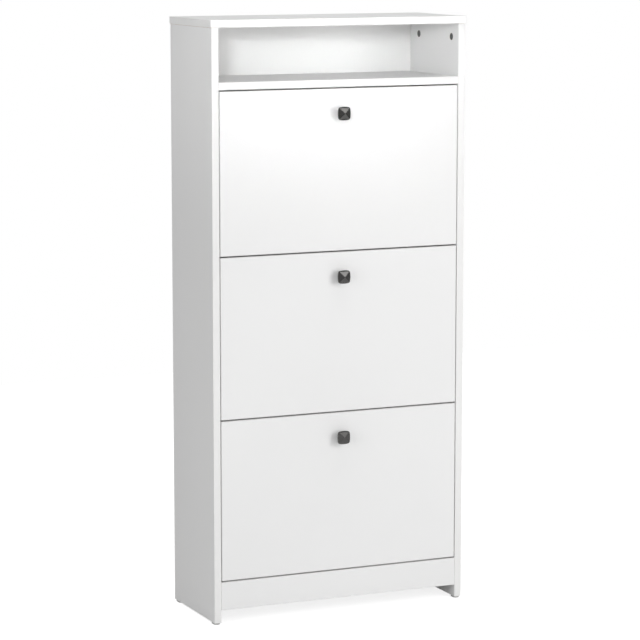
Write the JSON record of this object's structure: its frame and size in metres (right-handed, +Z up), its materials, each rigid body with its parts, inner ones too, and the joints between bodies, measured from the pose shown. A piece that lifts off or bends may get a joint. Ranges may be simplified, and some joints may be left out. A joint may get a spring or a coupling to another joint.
{
  "type": "shoe cabinet",
  "caption": "Tall, shallow white shoe cabinet with an open niche under its top and tip-out flaps that hold shoes on inner shelves, each with a square dark knob.",
  "frame": {"origin": "middle of the whole box on the floor, under the four glides", "axes": "+Z up along the cabinet's height; -Y towards the front, where the flaps and knobs are; +Y towards the wall; +X towards the side panel on the right of someone facing the front"},
  "size_m": [0.604, 0.2674, 1.31],
  "materials": {
    "white_board": "satin white melamine film on particleboard, with white edge banding",
    "back_sheet": "thin hardboard, white lacquer film on the inside and brown fibre behind",
    "knob_metal": "dark gunmetal plating, satin",
    "cam_zinc": "dark cast zinc, satin",
    "steel": "bright zinc-plated steel",
    "bush_plastic": "pale grey moulded plastic",
    "glide_plastic": "pale grey moulded plastic"
  },
  "bodies": {
    "cabinet": {"top_panel": "white_board", "side_panel_left": "white_board", "side_panel_right": "white_board", "niche_shelf": "white_board", "plinth": "white_board", "rear_rail_low": "white_board", "rear_rail_under_middle_flap": "white_board", "rear_rail_under_top_flap": "white_board", "back_sheet": "back_sheet", "glide_front_left": "glide_plastic", "cam_front_left": "cam_zinc", "cam_bolt_front_left": "steel", "glide_rear_left": "glide_plastic", "cam_rear_left": "cam_zinc", "cam_bolt_rear_left": "steel", "pivot_bush_bottom_left": "bush_plastic", "stop_peg_bottom_left": "steel", "pivot_bush_middle_left": "bush_plastic", "stop_peg_middle_left": "steel", "pivot_bush_top_left": "bush_plastic", "stop_peg_top_left": "steel", "glide_front_right": "glide_plastic", "cam_front_right": "cam_zinc", "cam_bolt_front_right": "steel", "glide_rear_right": "glide_plastic", "cam_rear_right": "cam_zinc", "cam_bolt_rear_right": "steel", "pivot_bush_bottom_right": "bush_plastic", "stop_peg_bottom_right": "steel", "pivot_bush_middle_right": "bush_plastic", "stop_peg_middle_right": "steel", "pivot_bush_top_right": "bush_plastic", "stop_peg_top_right": "steel"},
    "bottom_flap": {"bottom_flap_front": "white_board", "bottom_flap_low_shelf": "white_board", "bottom_flap_middle_shelf": "white_board", "bottom_flap_knob": "knob_metal", "bottom_flap_knob_screw": "steel", "bottom_flap_cheek_left": "white_board", "bottom_flap_cheek_right": "white_board", "bottom_flap_pivot_pin_left": "steel", "bottom_flap_pivot_pin_right": "steel"},
    "middle_flap": {"middle_flap_front": "white_board", "middle_flap_low_shelf": "white_board", "middle_flap_middle_shelf": "white_board", "middle_flap_knob": "knob_metal", "middle_flap_knob_screw": "steel", "middle_flap_cheek_left": "white_board", "middle_flap_cheek_right": "white_board", "middle_flap_pivot_pin_left": "steel", "middle_flap_pivot_pin_right": "steel"},
    "top_flap": {"top_flap_front": "white_board", "top_flap_low_shelf": "white_board", "top_flap_middle_shelf": "white_board", "top_flap_knob": "knob_metal", "top_flap_knob_screw": "steel", "top_flap_cheek_left": "white_board", "top_flap_cheek_right": "white_board", "top_flap_pivot_pin_left": "steel", "top_flap_pivot_pin_right": "steel"}
  },
  "joints": [
    {"name": "bottom_flap_hinge", "type": "hinge", "parent": "cabinet", "child": "bottom_flap", "pos_m": [0, -0.10165, 0.10913], "axis": [1, 0, 0], "range_deg": [0, 45]},
    {"name": "middle_flap_hinge", "type": "hinge", "parent": "cabinet", "child": "middle_flap", "pos_m": [0, -0.10165, 0.46413], "axis": [1, 0, 0], "range_deg": [0, 45]},
    {"name": "top_flap_hinge", "type": "hinge", "parent": "cabinet", "child": "top_flap", "pos_m": [0, -0.10165, 0.81913], "axis": [1, 0, 0], "range_deg": [0, 45]}
  ]
}
